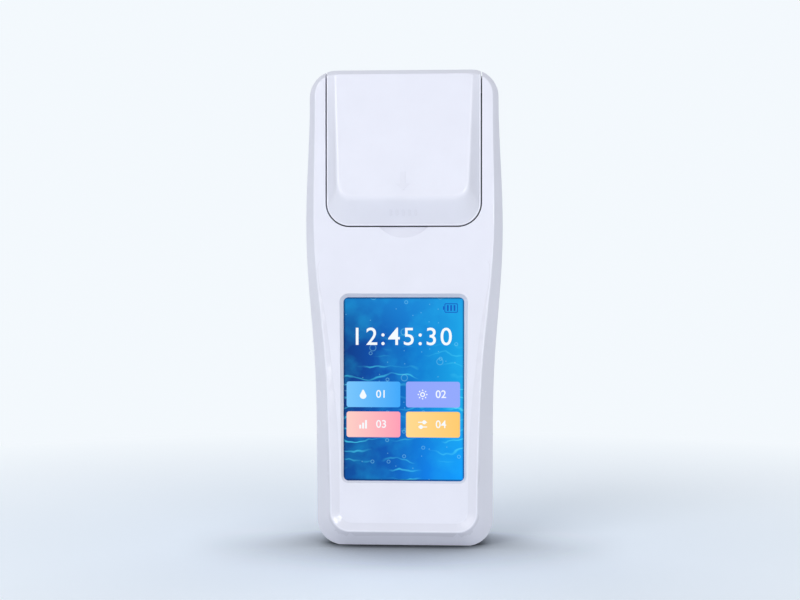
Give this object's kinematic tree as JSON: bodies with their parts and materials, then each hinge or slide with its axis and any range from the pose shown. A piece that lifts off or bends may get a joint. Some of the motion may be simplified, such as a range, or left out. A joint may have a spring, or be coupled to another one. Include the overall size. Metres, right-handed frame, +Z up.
{
  "type": "water quality analyzer",
  "caption": "Handheld water quality analyzer with a colour screen, a hinged lid over a sample well, a push latch, a charging socket and a battery in the back",
  "frame": {"origin": "centre of the bounding box, on the plane that the foot stands on", "axes": "+Z up along the instrument, the screen faces -Y, +X is to the right seen from the front"},
  "size_m": [0.0796, 0.0528, 0.1928],
  "materials": {
    "case_white": "fine satin moulded plastic, cool white",
    "lid_white": "fine satin moulded plastic, cool white",
    "seal_grey": "smooth silicone cord",
    "lining_dark": "matt black moulded plastic",
    "foam_black": "closed cell foam",
    "screw_steel": "zinc plated steel",
    "latch_grey": "moulded acetal",
    "plunger_grey": "moulded acetal",
    "pin_steel": "ground steel pin",
    "spring_steel": "drawn spring wire",
    "deck_dark": "matt black moulded plastic",
    "holder_black": "dead black plastic that swallows stray light",
    "filter_glass": "coated interference filter",
    "lamp_clear": "clear cast lens",
    "detector_black": "black cast package",
    "board_green": "solder mask over woven laminate",
    "screen_face": "cover glass bonded over a lit colour screen",
    "lcd_dark": "display glass with a dark polariser",
    "backlight_white": "diffuser stack in a white tray",
    "frame_black": "glass filled moulded plastic",
    "ribbon_amber": "polyimide flex",
    "shield_tin": "tin plated can",
    "chip_black": "moulded package",
    "socket_steel": "drawn stainless shell",
    "tongue_black": "moulded contact carrier",
    "button_grey": "soft touch blue grey plastic",
    "cell_wrap": "shrink wrap over a steel can",
    "contact_nickel": "nickel plated strip",
    "insert_brass": "turned brass",
    "pad_rubber": "soft rubber"
  },
  "bodies": {
    "case": {"front_shell": "case_white", "rear_shell": "case_white", "case_seal": "seal_grey", "hinge_pin": "pin_steel", "lid_spring": "spring_steel", "well_deck": "deck_dark", "deck_screws": "screw_steel", "latch_housing": "latch_grey", "latch_spring": "spring_steel", "latch_screws": "screw_steel", "cell_holder": "holder_black", "lamp_filter": "filter_glass", "detector_filter": "filter_glass", "measuring_lamp": "lamp_clear", "light_detector": "detector_black", "lamp_board": "board_green", "detector_board": "board_green", "optic_board_screws": "screw_steel", "screen_gasket": "foam_black", "screen_glass": "screen_face", "lcd_panel": "lcd_dark", "backlight": "backlight_white", "display_frame": "frame_black", "display_frame_screws": "screw_steel", "display_ribbon": "ribbon_amber", "main_board": "board_green", "main_board_screws": "screw_steel", "processor_shield": "shield_tin", "board_chips": "chip_black", "buzzer": "chip_black", "charging_socket": "socket_steel", "socket_tongue": "tongue_black", "power_switch": "chip_black", "battery_cells": "cell_wrap", "battery_tray": "frame_black", "battery_contacts": "contact_nickel", "battery_door": "case_white", "battery_door_screws": "screw_steel", "thread_inserts": "insert_brass", "case_screws": "screw_steel", "back_pads": "pad_rubber"},
    "lid": {"lid_cover": "lid_white", "lid_liner": "lining_dark", "lid_light_seal": "foam_black", "lid_liner_screws": "screw_steel", "latch_striker": "latch_grey"},
    "plunger": {"latch_plunger": "plunger_grey"},
    "button": {"power_button": "button_grey"}
  },
  "joints": [
    {"name": "lid_hinge", "type": "hinge", "parent": "case", "child": "lid", "pos_m": [0, 0.002, 0.1878], "axis": [-1, 0, 0], "range_deg": [0, 105], "deforming": ["lid_spring"]},
    {"name": "plunger_slide", "type": "slide", "parent": "case", "child": "plunger", "axis": [0, 1, 0], "range_m": [0, 0.002], "stiffness_N_per_m": 400, "deforming": ["latch_spring"]},
    {"name": "button_press", "type": "slide", "parent": "case", "child": "button", "axis": [1, 0, 0], "range_m": [0, 0.0005], "stiffness_N_per_m": 800}
  ]
}
